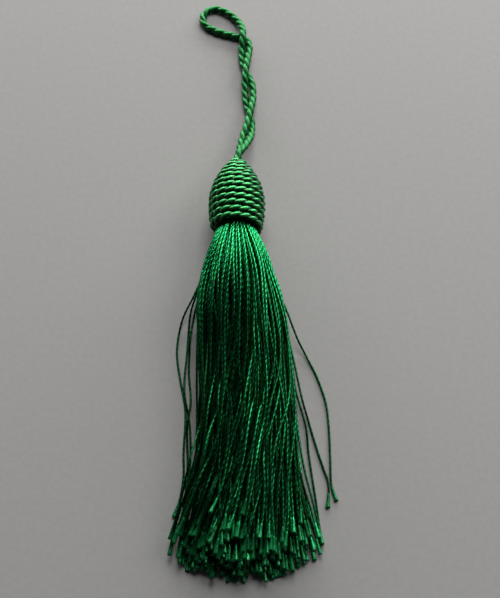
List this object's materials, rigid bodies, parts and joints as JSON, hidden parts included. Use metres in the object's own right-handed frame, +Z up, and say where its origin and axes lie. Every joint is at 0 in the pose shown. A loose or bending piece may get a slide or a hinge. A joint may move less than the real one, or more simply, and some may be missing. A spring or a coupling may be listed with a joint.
{
  "type": "silk tassel",
  "caption": "Silk tassel lying on its side: an egg-shaped head wound with twisted cord, a full skirt of cut threads and a doubled, twisted hanging loop.",
  "frame": {"origin": "the middle of the small flat spot on which the head lies, under the head's widest place", "axes": "+Z up from the surface, +Y along the tassel from the cut ends to the hanging loop, +X to the right when it is seen from above with the loop away from the viewer"},
  "size_m": [0.0342, 0.143, 0.0127],
  "materials": {
    "wound_cord": "lustrous twisted silk cord, emerald green",
    "skirt_thread": "lustrous two-ply silk thread, emerald green",
    "loop_cord": "lustrous twisted silk cord, emerald green"
  },
  "bodies": {
    "root": {"head": "wound_cord", "skirt": "skirt_thread", "hanging_loop": "loop_cord"}
  },
  "joints": []
}
